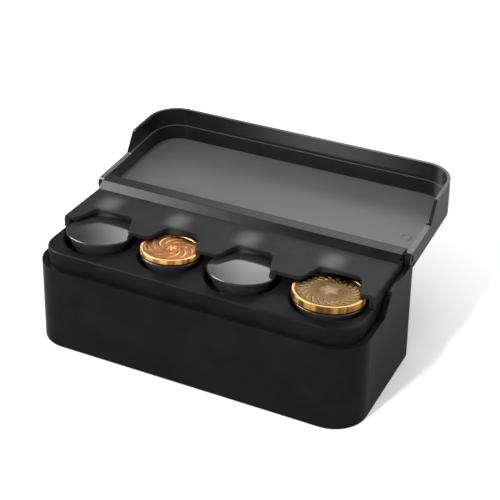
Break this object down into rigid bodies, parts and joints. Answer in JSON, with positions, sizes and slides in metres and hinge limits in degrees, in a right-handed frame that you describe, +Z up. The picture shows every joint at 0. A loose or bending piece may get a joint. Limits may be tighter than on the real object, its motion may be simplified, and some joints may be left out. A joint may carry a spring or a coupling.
{
  "type": "spring-loaded coin holder",
  "caption": "Black pocket coin holder: flip lid, notched retaining plate and spring-loaded round coin tubes in a rounded rectangular case.",
  "frame": {"origin": "middle of the flat underside that the case rests on, level with the foot of the case", "axes": "+X along the case's length, +Y from the open front towards the hinge, +Z up"},
  "size_m": [0.1212, 0.096, 0.0527],
  "materials": {
    "case_gloss": "polished",
    "lid_gloss": "polished",
    "deck_gloss": "satin gloss",
    "bar_gloss": "polished",
    "pusher_gloss": "polished",
    "plate_satin": "satin",
    "base_satin": "fine matt texture",
    "screw_steel": "zinc plated",
    "pin_steel": "ground",
    "spring_steel": "drawn wire",
    "token_copper": "polished, copper toned",
    "token_gold": "polished, gold toned"
  },
  "bodies": {
    "case": {"outer_case": "case_gloss", "base_plate": "base_satin", "base_screws": "screw_steel", "coin_tubes": "deck_gloss", "retaining_plate": "plate_satin", "plate_screws": "screw_steel", "hinge_bar": "bar_gloss", "hinge_pin_left": "pin_steel", "hinge_pin_right": "pin_steel", "spring_1": "spring_steel", "spring_2": "spring_steel", "spring_3": "spring_steel", "spring_4": "spring_steel"},
    "lid": {"lid": "lid_gloss"},
    "follower_1": {"pusher_1": "pusher_gloss"},
    "follower_2": {"pusher_2": "pusher_gloss", "token_small": "token_copper"},
    "follower_3": {"pusher_3": "pusher_gloss"},
    "follower_4": {"pusher_4": "pusher_gloss", "token_large": "token_gold"}
  },
  "joints": [
    {"name": "lid_hinge", "type": "hinge", "parent": "case", "child": "lid", "pos_m": [0, 0.0226, 0.0403], "axis": [1, 0, 0], "range_deg": [0, 176.3]},
    {"name": "pusher_1_slide", "type": "slide", "parent": "case", "child": "follower_1", "axis": [0, 0, 1], "range_m": [-0.022, 0], "stiffness_N_per_m": 60, "springref_m": 0.012, "deforming": ["spring_1"]},
    {"name": "pusher_2_slide", "type": "slide", "parent": "case", "child": "follower_2", "axis": [0, 0, 1], "range_m": [-0.022, 0], "stiffness_N_per_m": 60, "springref_m": 0.012, "deforming": ["spring_2"]},
    {"name": "pusher_3_slide", "type": "slide", "parent": "case", "child": "follower_3", "axis": [0, 0, 1], "range_m": [-0.022, 0], "stiffness_N_per_m": 60, "springref_m": 0.012, "deforming": ["spring_3"]},
    {"name": "pusher_4_slide", "type": "slide", "parent": "case", "child": "follower_4", "axis": [0, 0, 1], "range_m": [-0.022, 0], "stiffness_N_per_m": 60, "springref_m": 0.012, "deforming": ["spring_4"]}
  ]
}
